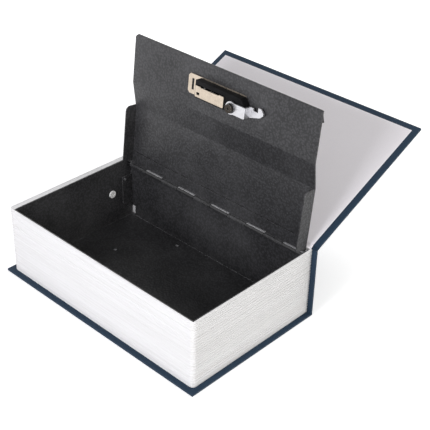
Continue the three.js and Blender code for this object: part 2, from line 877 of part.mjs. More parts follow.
/** Number wheel with one flat and one groove for each number. */
function dial(x) {
  const wheel = flutedCircle(dialY, dialAxleZ, dialRadius, dialNumbers, dialGrooveDepth);
  const left = x - dialWidth / 2;
  const right = left + dialWidth;
  const bore = bar(circle(dialY, dialAxleZ, dialAxleRadius + runningGap), left - overrun, right + overrun);
  return build([bar(wheel, left, right)], [bore]);
}

/** Outer plate with one window for each dial and a hole for the knob's spindle. */
function lockEscutcheon() {
  const low = lidRecessOuter + seatGap;
  const high = low + escutcheonThickness;
  const plate = roundedRectangle(
    lockCentre - chamberHalf - escutcheonMargin, latchY - escutcheonWidth / 2,
    latchX + knobRadius + escutcheonMargin, latchY + escutcheonWidth / 2,
    escutcheonCorner,
  );
  const windows = dialPlaces().map((x) => windowCut(x, low - overrun, high + overrun));
  const spindleHole = slab(spindleCircle(), low - overrun, high + overrun);
  return build([slab(plate, low, high)], [...windows, spindleHole]);
}

// Latch, turned by a knob on the outside

/** Low fluted knob with a finger grip across it. */
function latchKnob() {
  const low = lidRecessOuter + seatGap + escutcheonThickness + seatGap;
  const disc = flutedCircle(latchX, latchY, knobRadius, knobFlutes, knobFluteRadius / 2);
  const rim = slab(disc, low, low + knobHeight / 2);
  const grip = box(
    latchX - knobRadius / Math.SQRT2, latchY - knobGripWidth / 2, low,
    latchX + knobRadius / Math.SQRT2, latchY + knobGripWidth / 2, low + knobHeight,
  );
  return build([rim, grip]);
}

/** Outline of the hole that the lever's screw passes through. */
function screwCircle() {
  return circle(latchX, latchY, screwShankRadius + runningGap);
}

/** Spindle from the knob to the lever, bored for the lever's screw. */
function latchSpindle() {
  const high = lidRecessOuter + seatGap + escutcheonThickness + seatGap - glueLine;
  const low = lidRecessInner - leverHeight + glueLine;
  const bore = slab(screwCircle(), low - overrun, low + leverHeight / 2);
  return build([slab(circle(latchX, latchY, spindleRadius), low, high)], [bore]);
}

/** Joggled lever: round hub, level arm, steep step down to the lid, hooked and notched end. */
function latchLever() {
  const hubLow = lidRecessInner - leverHeight - leverThickness;
  const hubHigh = hubLow + leverThickness;
  const endHigh = lidRecessInner - leverEndHeight;
  const endLow = endHigh - leverThickness;
  const side = outline([
    [latchX, hubLow],
    [latchX + leverArmLength + leverThickness, hubLow],
    [latchX + leverArmLength + leverJoggleRun, endLow],
    [latchX + leverLength, endLow],
    [latchX + leverLength, endHigh],
    [latchX + leverArmLength + leverJoggleRun - leverThickness, endHigh],
    [latchX + leverArmLength, hubHigh],
    [latchX, hubHigh],
  ]);
  const half = leverArmWidth / 2;
  const body = plank(side, latchY - leverHookRise - half, latchY + half);
  const hubSides = smallRoundSides + smallRoundSides / 2;
  const hub = slab(circle(latchX, latchY, leverHubRadius, hubSides), hubLow, hubHigh);
  const end = latchX + leverLength;
  const hook = end - leverHookWidth;
  const plan = outline([
    [latchX, latchY - half],
    [hook - leverNotchWidth, latchY - half],
    [hook - leverNotchWidth, latchY - half + leverNotchDepth],
    [hook, latchY - half + leverNotchDepth],
    [hook, latchY - leverHookRise],
    [end - leverHookWidth / 2, latchY - leverHookRise],
    [end, latchY - leverHookRise / 2],
    [end, latchY - leverHookRise / 4],
    [end - leverHookWidth / 2, latchY + half / 4],
    [latchX + leverArmLength, latchY + half],
    [latchX, latchY + half],
  ]);
  const planBody = slab(plan, hubLow - overrun, lidRecessInner);
  const screwHole = slab(screwCircle(), hubLow - overrun, hubHigh + overrun);
  const lever = solid(body).intersect(solid(planBody)).add(solid(hub)).subtract(solid(screwHole));
  return geometryOf(lever);
}

function latchWasher() {
  const high = lidRecessInner - leverHeight - leverThickness - glueLine;
  const hole = slab(screwCircle(), high - overrun, high + overrun);
  return build([slab(circle(latchX, latchY, washerRadius), high - washerThickness, high)], [hole]);
}

/** Socket screw that holds the lever on the spindle. */
function latchScrew() {
  const high = lidRecessInner - leverHeight - leverThickness - glueLine - washerThickness - glueLine;
  const low = high - screwHeadHeight;
  const shankTop = lidRecessInner - leverHeight + glueLine + leverHeight / 4;
  const head = slab(circle(latchX, latchY, screwHeadRadius), low, high);
  const shank = slab(circle(latchX, latchY, screwShankRadius), low + screwHeadHeight / 2, shankTop);
  const hexagon = 6;
  const socketShape = circle(latchX, latchY, screwSocketRadius, hexagon);
  const socket = slab(socketShape, low - overrun, low + screwSocketDepth);
  return build([head, shank], [socket]);
}

// Assembly

function piece(name, geometry, surface) {
  const mesh = new THREE.Mesh(geometry, surface);
  mesh.name = name;
  return mesh;
}

const book = new THREE.Group();
book.add(
  piece("back_board", backBoard(), greyboard),
  piece("spine_board", spineBoard(), greyboard),
  piece("case_cloth", caseCloth(), bookCloth),
  piece("back_endpaper", backEndPaper(), endPaper),
  piece("joint_cloth", jointCloth(), bookCloth),
  piece("page_block", pageBlock(), pagePlastic),
  piece("steel_box", steelBox(), hammertone),
  piece("corner_tab", cornerTab(), hammertone),
  piece("tab_rivet", tabRivet(), bareZinc),
  piece("wall_plug", wallPlug(), whitePlastic),
  piece("keeper", keeper(), hammertone),
);
rivetPlaces().forEach((place, index) => {
  book.add(piece(`floor_rivet_${index + 1}`, floorRivet(place), darkSteel));
});

const boxHinge = new THREE.Group();
boxHinge.position.set(0, hingeY, hingeZ);
boxHinge.add(
  piece("hinge_box_leaf", hingeLeaf(1, 1, shelfDepth - seatGap), bareZinc),
  piece("hinge_pin", hingePin(), bareZinc),
);

const lid = new THREE.Group();
lid.position.set(0, hingeY, hingeZ);
lid.rotation.x = -lidOpenAngle;
lid.add(
  piece("lid_panel", lidPanel(), hammertone),
  piece("hinge_lid_leaf", hingeLidLeaf(), hammertone),
  piece("lock_bracket", lockBracket(), nickel),
  piece("lock_housing", lockHousing(), blackPlastic),
  piece("lock_cover", lockCover(), nickel),
  piece("dial_axle", dialAxle(), darkSteel),
  piece("lock_escutcheon", lockEscutcheon(), nickel),
  piece("latch_knob", latchKnob(), nickel),
  piece("latch_spindle", latchSpindle(), darkSteel),
  piece("latch_lever", latchLever(), nickel),
  piece("latch_washer", latchWasher(), darkSteel),
  piece("latch_screw", latchScrew(), darkSteel),
);
dialPlaces().forEach((x, index) => {
  lid.add(piece(`dial_${index + 1}`, dial(x), blackPlastic));
});

const cover = new THREE.Group();
cover.position.set(0, pivotY, pivotZ);
cover.rotation.x = -coverOpenAngle;
cover.add(
  piece("front_board", frontBoard(), greyboard),
  piece("front_cloth", frontCloth(), bookCloth),
  piece("front_endpaper", frontEndPaper(), endPaper),
);

const bookSafe = new THREE.Group();
bookSafe.add(book, boxHinge, lid, cover);

export default bookSafe;
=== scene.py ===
import json
import math

import bpy
import numpy as np
from mathutils import Matrix, Vector


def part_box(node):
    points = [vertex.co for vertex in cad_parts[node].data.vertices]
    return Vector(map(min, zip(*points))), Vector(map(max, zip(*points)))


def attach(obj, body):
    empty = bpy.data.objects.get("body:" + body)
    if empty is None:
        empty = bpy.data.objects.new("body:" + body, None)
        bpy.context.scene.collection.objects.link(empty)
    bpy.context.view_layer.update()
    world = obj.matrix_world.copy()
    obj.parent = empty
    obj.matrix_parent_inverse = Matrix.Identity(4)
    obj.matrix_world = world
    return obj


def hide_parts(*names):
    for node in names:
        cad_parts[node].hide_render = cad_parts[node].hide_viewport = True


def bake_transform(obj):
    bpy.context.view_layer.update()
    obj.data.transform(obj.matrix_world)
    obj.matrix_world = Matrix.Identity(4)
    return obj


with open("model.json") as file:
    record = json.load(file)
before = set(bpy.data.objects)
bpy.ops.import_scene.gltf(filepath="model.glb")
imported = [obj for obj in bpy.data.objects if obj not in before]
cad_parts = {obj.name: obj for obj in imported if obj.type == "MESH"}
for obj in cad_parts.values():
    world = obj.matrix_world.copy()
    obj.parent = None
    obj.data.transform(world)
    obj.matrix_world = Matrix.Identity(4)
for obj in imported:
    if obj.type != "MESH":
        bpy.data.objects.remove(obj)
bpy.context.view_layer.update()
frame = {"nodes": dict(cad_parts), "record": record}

# Book safe seen from above its fore-edge corner: cloth case, ribbed page block, steel box and lid.
# Metres. X runs along the spine, Y from the fore-edge to the spine, Z up.

MM = 0.001
NODES = frame["nodes"]

# The photograph's frame and the camera that was fitted to it
IMAGE_SIZE = 430
FOCAL_PIXELS = 1019.36
SENSOR = 36.0
CAMERA_PLACE = Vector((0.41344, -0.38529, 0.42227))
CAMERA_RIGHT = Vector((0.72132, 0.69227, 0.02146))
CAMERA_DOWN = Vector((0.38449, -0.37446, -0.84377))


# Shader node helpers

class Graph:
    """A node tree with short calls for adding nodes and links."""

    def __init__(self, tree):
        self.tree = tree

    def node(self, kind, **settings):
        made = self.tree.nodes.new(kind)
        for name, value in settings.items():
            setattr(made, name, value)
        return made

    def link(self, source, target):
        self.tree.links.new(source, target)

    def feed(self, socket, value):
        """Links an output, or writes a plain value, into a socket."""
        if isinstance(value, bpy.types.NodeSocket):
            self.link(value, socket)
        else:
            socket.default_value = value

    def math(self, operation, first, second=0.0, third=0.0):
        made = self.node("ShaderNodeMath", operation=operation)
        for socket, value in zip(made.inputs, (first, second, third)):
            self.feed(socket, value)
        return made.outputs[0]

    def mix(self, factor, first, second):
        """Mixes two colours."""
        made = self.node("ShaderNodeMix", data_type="RGBA")
        self.feed(made.inputs["Factor"], factor)
        self.feed(made.inputs["A"], first)
        self.feed(made.inputs["B"], second)
        return made.outputs["Result"]

    def ramp(self, value, low, high, out_low=0.0, out_high=1.0):
        """Maps a range of values smoothly on to another."""
        made = self.node("ShaderNodeMapRange", interpolation_type="SMOOTHSTEP")
        numbers = {"From Min": low, "From Max": high, "To Min": out_low, "To Max": out_high}
        for name, number in numbers.items():
            self.feed(made.inputs[name], number)
        self.feed(made.inputs["Value"], value)
        return made.outputs["Result"]

    def stretched(self, vector, scale):
        """Scales a coordinate differently along its axes."""
        made = self.node("ShaderNodeMapping")
        self.feed(made.inputs["Vector"], vector)
        made.inputs["Scale"].default_value = scale
        return made.outputs["Vector"]

    def noise(self, vector, scale, detail=2.0, roughness=0.5):
        made = self.node("ShaderNodeTexNoise")
        self.feed(made.inputs["Vector"], vector)
        self.feed(made.inputs["Scale"], scale)
        made.inputs["Detail"].default_value = detail
        made.inputs["Roughness"].default_value = roughness
        return made.outputs["Fac"]

    def bump(self, height, distance, strength=1.0, normal=None):
        made = self.node("ShaderNodeBump")
        self.feed(made.inputs["Height"], height)
        self.feed(made.inputs["Distance"], distance)
        made.inputs["Strength"].default_value = strength
        if normal is not None:
            self.link(normal, made.inputs["Normal"])
        return made.outputs["Normal"]

    def object_place(self):
        return self.node("ShaderNodeTexCoord").outputs["Object"]

    def split(self, vector):
        """The X, Y and Z of a vector, as three outputs."""
        made = self.node("ShaderNodeSeparateXYZ")
        self.link(vector, made.inputs[0])
        return made.outputs


def shader_group(name, inputs, outputs, build):
    """Makes a node group; build gets its graph and its inputs and returns its outputs by name."""
    tree = bpy.data.node_groups.new(name, "ShaderNodeTree")
    for label, kind, value in inputs:
        socket = tree.interface.new_socket(label, in_out="INPUT", socket_type=kind)
        if value is not None:
            socket.default_value = value
    for label, kind in outputs:
        tree.interface.new_socket(label, in_out="OUTPUT", socket_type=kind)
    graph = Graph(tree)
    made = build(graph, graph.node("NodeGroupInput").outputs)
    target = graph.node("NodeGroupOutput")
    for label, _ in outputs:
        graph.link(made[label], target.inputs[label])
    return tree


def place_group(graph, tree, **values):
    """Adds a node group to a material and sets or links its inputs."""
    made = graph.node("ShaderNodeGroup", node_tree=tree)
    for label, value in values.items():
        graph.feed(made.inputs[label.replace("_", " ")], value)
    return made.outputs


def new_material(name):
    """An empty material with its graph and its Principled shader."""
    made = bpy.data.materials.new(name)
    made.use_nodes = True
    graph = Graph(made.node_tree)
    shader = next(node for node in made.node_tree.nodes if node.type == "BSDF_PRINCIPLED")
    return made, graph, shader


def dress(graph, shader, colour, roughness, normal, **constants):
    """Links a shader's colour, roughness and normal, and sets its plain values by name."""
    graph.link(colour, shader.inputs["Base Color"])
    graph.link(roughness, shader.inputs["Roughness"])
    graph.link(normal, shader.inputs["Normal"])
    for label, value in constants.items():
        shader.inputs[label.replace("_", " ")].default_value = value


def shaded(colour, factor, lift=0.0):
    """A colour made darker or lighter by one factor, plus a small lift, never above 1."""
    return tuple(min(1.0, channel * factor + lift) for channel in colour[:3]) + (1,)


FLOAT = "NodeSocketFloat"
VECTOR = "NodeSocketVector"


def build_edge_wear(graph, given):
    """Mask that is 1 where the surface's rounded normal leaves its flat one, broken up by noise."""
    bevel = graph.node("ShaderNodeBevel", samples=4)
    graph.link(given["Radius"], bevel.inputs["Radius"])
    geometry = graph.node("ShaderNodeNewGeometry")
    dot = graph.node("ShaderNodeVectorMath", operation="DOT_PRODUCT")
    graph.link(bevel.outputs["Normal"], dot.inputs[0])
    graph.link(geometry.outputs["Normal"], dot.inputs[1])
    edge = graph.ramp(dot.outputs["Value"], 0.995, 0.90)
    grain = graph.noise(graph.object_place(), given["Grain"], 3.0)
    patchy = graph.ramp(grain, 0.42, 0.62)
    worn = graph.math("MULTIPLY", edge, graph.math("MULTIPLY", patchy, given["Amount"]))
    return {"Wear": worn, "Normal": bevel.outputs["Normal"]}


EDGE_WEAR = shader_group(
    "EdgeWear",
    [("Radius", FLOAT, 0.3 * MM), ("Grain", FLOAT, 900.0), ("Amount", FLOAT, 0.5)],
    [("Wear", FLOAT), ("Normal", VECTOR)],
    build_edge_wear,
)


def build_dust(graph, given):
    """Soft, uneven film over a surface, in two sizes of noise."""
    place = graph.object_place()
    broad = graph.noise(place, 28.0, 3.0)
    fine = graph.noise(place, 700.0, 2.0)
    film = graph.math("MULTIPLY", graph.ramp(broad, 0.35, 0.75), given["Amount"])
    speck = graph.math("MULTIPLY", graph.ramp(fine, 0.66, 0.74), given["Specks"])
    return {"Dust": graph.math("ADD", film, speck)}


DUST = shader_group(
    "Dust",
    [("Amount", FLOAT, 0.1), ("Specks", FLOAT, 0.05)],
    [("Dust", FLOAT)],
    build_dust,
)


# Black hammertone enamel, and where its painted highlight along the bend between the box's floor and rear
# wall lies
ENAMEL_DARK = (0.021, 0.021, 0.022, 1)
ENAMEL_LIGHT = (0.047, 0.047, 0.050, 1)
ENAMEL_DUST = (0.45, 0.45, 0.46, 1)
# Paler enamel for worn edges, and for the painted highlight along the box's bend
ENAMEL_WEAR_AND_HIGHLIGHT = (0.30, 0.30, 0.31, 1)
ENAMEL_ROUGHNESS = 0.38
ENAMEL_CELL = 1.5 * MM
ENAMEL_RELIEF = 0.12 * MM
ENAMEL_WARP_SHARE = 0.0006
BEND_HIGHLIGHT_IN_Y = (45 * MM, 46 * MM)
BEND_HIGHLIGHT_OUT_Z = (7 * MM, 6 * MM)


def hammertone(name, wear=0.45, crease_highlight=0.0):
    """Textured enamel: shallow cells with soft ridges between them, a little dust and worn edges.

    The last argument adds a painted highlight to the wear along the bend between the box's floor and its rear
    wall: paler enamel where the bend's round catches the light.
    """
    made, graph, shader = new_material(name)
    place = graph.object_place()
    warp = graph.node("ShaderNodeTexNoise")
    graph.link(place, warp.inputs["Vector"])
    warp.inputs["Scale"].default_value = 0.4 / ENAMEL_CELL
    moved = graph.node("ShaderNodeMix", data_type="VECTOR")
    moved.inputs["Factor"].default_value = ENAMEL_WARP_SHARE
    graph.link(place, moved.inputs[4])
    graph.link(warp.outputs["Color"], moved.inputs[5])
    cells = graph.node("ShaderNodeTexVoronoi", feature="SMOOTH_F1")
    graph.link(moved.outputs[1], cells.inputs["Vector"])
    cells.inputs["Scale"].default_value = 1 / ENAMEL_CELL
    cells.inputs["Smoothness"].default_value = 0.6
    dome = graph.ramp(cells.outputs["Distance"], 0.1, 0.75, 1.0, 0.0)
    fine = graph.noise(place, 4 / ENAMEL_CELL, 2.0)
    height = graph.math("ADD", dome, graph.math("MULTIPLY", fine, 0.25))
    parts = graph.split(place)
    # Painted highlight: a pale line of enamel along the bend between floor and rear wall, mixed in with the
    # edge wear
    bend_highlight_mask = graph.math(
        "MULTIPLY", graph.ramp(parts[1], *BEND_HIGHLIGHT_IN_Y), graph.ramp(parts[2], *BEND_HIGHLIGHT_OUT_Z)
    )
    wear_and_highlight = graph.math("MULTIPLY_ADD", bend_highlight_mask, crease_highlight, wear)
    worn = place_group(graph, EDGE_WEAR, Radius=0.35 * MM, Grain=900.0, Amount=wear_and_highlight)
    dust = place_group(graph, DUST, Amount=0.06, Specks=0.03)
    body = graph.mix(graph.ramp(height, 0.1, 1.1), ENAMEL_DARK, ENAMEL_LIGHT)
    dusty = graph.mix(dust["Dust"], body, ENAMEL_DUST)
    dress(
        graph, shader,
        graph.mix(worn["Wear"], dusty, ENAMEL_WEAR_AND_HIGHLIGHT),
        graph.ramp(height, 0.0, 1.2, ENAMEL_ROUGHNESS + 0.08, ENAMEL_ROUGHNESS - 0.06),
        graph.bump(height, ENAMEL_RELIEF, 0.75, worn["Normal"]),
        Specular_IOR_Level=0.32,
    )
    return made


RUBBED_METAL = (0.85, 0.85, 0.85, 1)


def metal(name, colour, roughness, streak=(1.0, 30.0, 30.0), tarnish=0.25):
    """Plated or bare metal with fine drawn streaks, faint tarnish and bright rubbed edges."""
    made, graph, shader = new_material(name)
    place = graph.object_place()
    lines = graph.noise(graph.stretched(place, streak), 160.0, 4.0, 0.65)
    blotch = graph.noise(place, 240.0, 3.0)
    worn = place_group(graph, EDGE_WEAR, Radius=0.15 * MM, Grain=1400.0, Amount=0.6)
    share = graph.math("MULTIPLY", graph.ramp(blotch, 0.4, 0.7), tarnish)
    stained = graph.mix(share, colour, shaded(colour, 0.62))
    dress(
        graph, shader,
        graph.mix(worn["Wear"], stained, RUBBED_METAL),
        graph.ramp(lines, 0.3, 0.7, roughness - 0.08, roughness + 0.12),
        graph.bump(lines, 0.01 * MM, 0.4, worn["Normal"]),
        Metallic=1.0,
    )
    return made


HINGE_PAINT_DARK = (0.018, 0.018, 0.019, 1)
HINGE_PAINT_LIGHT = (0.030, 0.030, 0.032, 1)
HINGE_BARE = (0.78, 0.78, 0.80, 1)
HINGE_RUB_WAY = (0.65, 0.76)
HINGE_BARE_HEIGHTS = (0.875 * MM, 0.92 * MM)


def rubbed_hinge(axis_y, axis_z):
    """Dark enamel on a rolled knuckle with a bare line where the moving leaf has rubbed its top.

    The line is where a point's height over the axis, taken along HINGE_RUB_WAY, is greatest.
    """
    made, graph, shader = new_material("hinge_zinc")
    place = graph.object_place()
    parts = graph.split(place)
    back = graph.math("SUBTRACT", parts[1], axis_y)
    rise = graph.math("SUBTRACT", parts[2], axis_z)
    risen = graph.math("MULTIPLY", rise, HINGE_RUB_WAY[1])
    height = graph.math("MULTIPLY_ADD", back, HINGE_RUB_WAY[0], risen)
    wobble = graph.math("MULTIPLY", graph.noise(place, 300.0, 2.0), 0.2 * MM)
    bare = graph.ramp(graph.math("SUBTRACT", height, wobble), *HINGE_BARE_HEIGHTS)
    grain = graph.noise(graph.stretched(place, (30.0, 900.0, 900.0)), 1.0, 3.0)
    paint = graph.mix(graph.ramp(grain, 0.3, 0.7), HINGE_PAINT_DARK, HINGE_PAINT_LIGHT)
    graph.link(graph.math("MULTIPLY", bare, 0.3), shader.inputs["Metallic"])
    dress(
        graph, shader,
        graph.mix(bare, paint, HINGE_BARE),
        graph.ramp(grain, 0.3, 0.7, 0.34, 0.46),
        graph.bump(grain, 0.01 * MM, 0.4),
    )
    return made


def moulded(name, colour, roughness, shine=0.5):
    """Moulded plastic with a fine spark-eroded grain and softened edges."""
    made, graph, shader = new_material(name)
    place = graph.object_place()
    texture = graph.noise(place, 2600.0, 2.0)
    tone = graph.noise(place, 60.0, 2.0)
    worn = place_group(graph, EDGE_WEAR, Radius=0.2 * MM, Grain=1000.0, Amount=0.15)
    dress(
        graph, shader,
        graph.mix(graph.ramp(tone, 0.3, 0.7), colour, shaded(colour, 1.1, 0.01)),
        graph.ramp(texture, 0.3, 0.7, roughness - 0.05, roughness + 0.07),
        graph.bump(texture, 0.02 * MM, 0.4, worn["Normal"]),
        Specular_IOR_Level=shine,
    )
    return made


def build_weave(graph, given):
    """Plain weave: round threads both ways, each over its neighbour in turn.

    A thread's height is sin(pi * fraction of the count) and dips to half where the other one crosses.
    """
    across = graph.split(given["Place"])
    counts = [graph.math("DIVIDE", across[axis], given["Pitch"]) for axis in (0, 1)]
    rounds = [
        graph.math("SINE", graph.math("MULTIPLY", graph.math("FRACT", count), math.pi))
        for count in counts
    ]
    whole = graph.math("ADD", *[graph.math("FLOOR", count) for count in counts])
    over = graph.math("ABSOLUTE", graph.math("MODULO", whole, 2.0))
    under = graph.math("SUBTRACT", 1.0, over)
    warp = graph.math("MULTIPLY", rounds[0], graph.math("MULTIPLY_ADD", rounds[1], 0.5, 0.5))
    weft = graph.math("MULTIPLY", rounds[1], graph.math("MULTIPLY_ADD", rounds[0], 0.5, 0.5))
    lower = graph.math("MULTIPLY", under, graph.math("MULTIPLY", weft, 0.85))
    height = graph.math("ADD", graph.math("MULTIPLY", over, warp), lower)
    return {"Height": height}


WEAVE = shader_group(
    "PlainWeave",
    [("Place", VECTOR, None), ("Pitch", FLOAT, 0.35 * MM)],
    [("Height", FLOAT)],
    build_weave,
)


CLOTH_DARK = (0.005, 0.017, 0.036, 1)
CLOTH_LIGHT = (0.013, 0.037, 0.070, 1)
CLOTH_TONE = (0.010, 0.028, 0.052, 1)
CLOTH_RUBBED = (0.035, 0.065, 0.105, 1)


def book_cloth():
    """Navy book cloth: filled plain weave with slubs, rubbed paler along the edges, with painted shade in the
    hollows of the weave.
    """
    made, graph, shader = new_material("book_cloth")
    place = graph.node("ShaderNodeUVMap", uv_map="Flat").outputs["UV"]
    weave = place_group(graph, WEAVE, Place=place, Pitch=0.36 * MM)
    slub = graph.noise(graph.stretched(place, (400.0, 2600.0, 1.0)), 1.0, 2.0)
    tone = graph.noise(graph.object_place(), 45.0, 3.0)
    worn = place_group(graph, EDGE_WEAR, Radius=0.5 * MM, Grain=1100.0, Amount=0.5)
    level = graph.math("MULTIPLY_ADD", weave["Height"], 0.5, graph.math("MULTIPLY", slub, 0.5))
    # Painted shade: darker in the hollows between threads, paler on thread tops and along slubs
    weave_shade_and_slub_tone = graph.mix(graph.ramp(level, 0.2, 0.9), CLOTH_DARK, CLOTH_LIGHT)
    uneven = graph.mix(graph.ramp(tone, 0.35, 0.7, 0.0, 0.35), weave_shade_and_slub_tone, CLOTH_TONE)
    dress(
        graph, shader,
        graph.mix(worn["Wear"], uneven, CLOTH_RUBBED),
        graph.ramp(weave["Height"], 0.0, 1.0, 0.85, 0.68),
        graph.bump(level, 0.06 * MM, 0.6, worn["Normal"]),
        Specular_IOR_Level=0.3,
        Sheen_Weight=0.04,
        Sheen_Roughness=0.5,
    )
    return made


PAPER_SPECK = (0.62, 0.60, 0.58, 1)


def white_paper(name, colour):
    """Smooth book paper with faint fibres, a slight cockle and tiny specks."""
    made, graph, shader = new_material(name)
    place = graph.object_place()
    fibre = graph.noise(graph.stretched(place, (900.0, 2600.0, 900.0)), 1.0, 4.0, 0.6)
    cockle = graph.noise(place, 38.0, 1.0)
    dust = place_group(graph, DUST, Amount=0.03, Specks=0.04)
    toned = graph.mix(graph.ramp(fibre, 0.35, 0.7), colour, shaded(colour, 0.965))
    coarse = graph.bump(cockle, 0.25 * MM, 0.25)
    dress(
        graph, shader,
        graph.mix(dust["Dust"], toned, PAPER_SPECK),
        graph.ramp(fibre, 0.3, 0.7, 0.62, 0.74),
        graph.bump(fibre, 0.012 * MM, 0.5, coarse),
    )
    return made


PAGE_LIGHT = (0.80, 0.798, 0.80, 1)
PAGE_DARK = (0.752, 0.748, 0.745, 1)
PAGE_LINE = (0.68, 0.67, 0.66, 1)
PAGE_GROOVE_SHADE = (0.62, 0.60, 0.57, 1)


def page_plastic():
    """White moulding textured like leaf edges: fine lines along the faces, and painted shade in the grooves
    between them, darker where the grooves run deeper.
    """
    made, graph, shader = new_material("page_plastic")
    place = graph.object_place()
    fine = graph.noise(graph.stretched(place, (55.0, 55.0, 3200.0)), 1.0, 3.0, 0.6)
    broad = graph.noise(graph.stretched(place, (14.0, 14.0, 620.0)), 1.0, 2.0)
    groove = graph.node("ShaderNodeAttribute", attribute_name="groove").outputs["Fac"]
    tone = graph.mix(graph.ramp(broad, 0.35, 0.68), PAGE_LIGHT, PAGE_DARK)
    lined = graph.mix(graph.ramp(fine, 0.5, 0.75, 0.0, 0.25), tone, PAGE_LINE)
    dress(
        graph, shader,
        # Painted shade in the grooves between the ridges, by the groove attribute of the page edges
        graph.mix(graph.math("MULTIPLY", groove, 0.34), lined, PAGE_GROOVE_SHADE),
        graph.ramp(fine, 0.3, 0.7, 0.5, 0.62),
        graph.bump(fine, 0.02 * MM, 0.35),
    )
    return made


BOARD_DARK = (0.24, 0.22, 0.19, 1)
BOARD_LIGHT = (0.34, 0.31, 0.27, 1)


def greyboard():
    """Raw grey pulp board."""
    made, graph, shader = new_material("greyboard")
    pulp = graph.noise(graph.object_place(), 900.0, 5.0, 0.7)
    dress(
        graph, shader,
        graph.mix(graph.ramp(pulp, 0.3, 0.7), BOARD_DARK, BOARD_LIGHT),
        graph.ramp(pulp, 0.3, 0.7, 0.85, 0.95),
        graph.bump(pulp, 0.03 * MM, 0.5),
    )
    return made


PAINT = hammertone("hammertone")
TAB_PAINT = hammertone("tab_enamel", wear=1.4)
# The box's enamel, with a painted highlight along the bend between its floor and rear wall
BOX_PAINT_WITH_HIGHLIGHT = hammertone("box_enamel", crease_highlight=3.0)
ZINC = metal("bare_zinc", (0.62, 0.62, 0.64, 1), 0.32)
NICKEL = metal("nickel", (0.56, 0.48, 0.39, 1), 0.32, (6.0, 6.0, 1.0), 0.35)
DARK_STEEL = metal("dark_steel", (0.10, 0.10, 0.105, 1), 0.38)
BLACK = moulded("black_plastic", (0.004, 0.004, 0.0045, 1), 0.5, shine=0.06)
LEVER_ZINC = metal("lever_zinc", (0.60, 0.60, 0.62, 1), 0.36, tarnish=0.12)
SCREW_OXIDE = metal("screw_oxide", (0.050, 0.043, 0.037, 1), 0.34, tarnish=0.3)
KNOB_CHROME = metal("knob_chrome", (0.66, 0.66, 0.68, 1), 0.16, (30.0, 30.0, 1.0), 0.1)
DIAL_MARKS = moulded("dial_marks", (0.80, 0.80, 0.78, 1), 0.45)
WHITE_PLUG = moulded("white_plastic", (0.88, 0.88, 0.87, 1), 0.42)
CLOTH_FINISH = book_cloth()
PAPER = white_paper("end_paper", (0.90, 0.868, 0.905, 1))
PAGES = page_plastic()
BOARD = greyboard()

FINISHES = {
    "hammertone": PAINT,
    "bare_zinc": ZINC,
    "nickel": NICKEL,
    "dark_steel": DARK_STEEL,
    "black_plastic": BLACK,
    "white_plastic": WHITE_PLUG,
    "book_cloth": CLOTH_FINISH,
    "end_paper": PAPER,
    "page_plastic": PAGES,
    "greyboard": BOARD,
}

# Nodes whose finish differs a little from their slot's
OWN_FINISHES = {
    "steel_box": BOX_PAINT_WITH_HIGHLIGHT,
    "corner_tab": TAB_PAINT,
    "latch_screw": SCREW_OXIDE,
    "latch_lever": LEVER_ZINC,
    "latch_knob": KNOB_CHROME,
}

for part in frame["record"]["subparts"]:
    mesh = NODES[part["node"]].data
    mesh.materials.clear()
    mesh.materials.append(OWN_FINISHES.get(part["node"], FINISHES[part["material_slot"]]))


# Places taken from the CAD nodes, in metres at rest

def outer_box(*names):
    """Lowest and highest corners round several nodes, as two arrays."""
    corners = [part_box(name) for name in names]
    low = np.min([np.array(pair[0]) for pair in corners], axis=0)
    high = np.max([np.array(pair[1]) for pair in corners], axis=0)
    return low, high


JOINTS = {joint["name"]: joint for joint in frame["record"]["behaviour"]["joints"]}
COVER_PIVOT = np.array(JOINTS["cover_hinge"]["pos_m"])
HINGE_AXIS = JOINTS["lid_hinge"]["pos_m"]
COVER_ANGLE = -math.radians(JOINTS["cover_hinge"]["range_deg"][1])
CASE_LOW, CASE_HIGH = outer_box("case_cloth")
BLOCK_LOW, BLOCK_HIGH = outer_box("page_block")
BOX_LOW, BOX_HIGH = outer_box("steel_box")
BACK_TOP = outer_box("back_endpaper")[1][2]

# The front cover, measured from its hinge line while shut: from the joint to the fore-edge, and its faces
COVER_LENGTH = 117.5 * MM
COVER_JOINT_GAP = 1.7 * MM
COVER_CLEARANCE = 0.3 * MM
COVER_INNER = BLOCK_HIGH[2] + COVER_CLEARANCE - COVER_PIVOT[2]
COVER_OUTER = COVER_INNER + BACK_TOP
TURN_IN = 4.5 * MM

hinge_node = NODES["hinge_box_leaf"]
hinge_axis = hinge_node.matrix_world.inverted() @ Vector(HINGE_AXIS)
hinge_node.data.materials[0] = rubbed_hinge(hinge_axis.y, hinge_axis.z)


def turned_about_pivot(points):
    """Turns points drawn with the cover shut, measured from the hinge line, to where they rest open."""
    points = np.asarray(points, float)
    cosine, sine = math.cos(COVER_ANGLE), math.sin(COVER_ANGLE)
    y = points[..., 1] * cosine - points[..., 2] * sine
    z = points[..., 1] * sine + points[..., 2] * cosine
    return np.stack([points[..., 0], y, z], axis=-1) + COVER_PIVOT


def mesh_piece(name, vertices, faces, finish, body=None, flat_uv=None, smooth=True):
    """Makes an object from arrays and lets it ride its body; flat_uv gives a pair of metres per vertex."""
    mesh = bpy.data.meshes.new(name)
    mesh.from_pydata(np.asarray(vertices).tolist(), [], [list(face) for face in faces])
    mesh.materials.append(finish)
    if flat_uv is not None:
        layer = mesh.uv_layers.new(name="Flat")
        corner = np.zeros(len(mesh.loops), np.int32)
        mesh.loops.foreach_get("vertex_index", corner)
        layer.data.foreach_set("uv", np.asarray(flat_uv, np.float32)[corner].ravel())
    mesh.polygons.foreach_set("use_smooth", np.full(len(mesh.polygons), smooth))
    mesh.update()
    made = bpy.data.objects.new(name, mesh)
    bpy.context.scene.collection.objects.link(made)
    if body:
        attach(made, body)
    return made


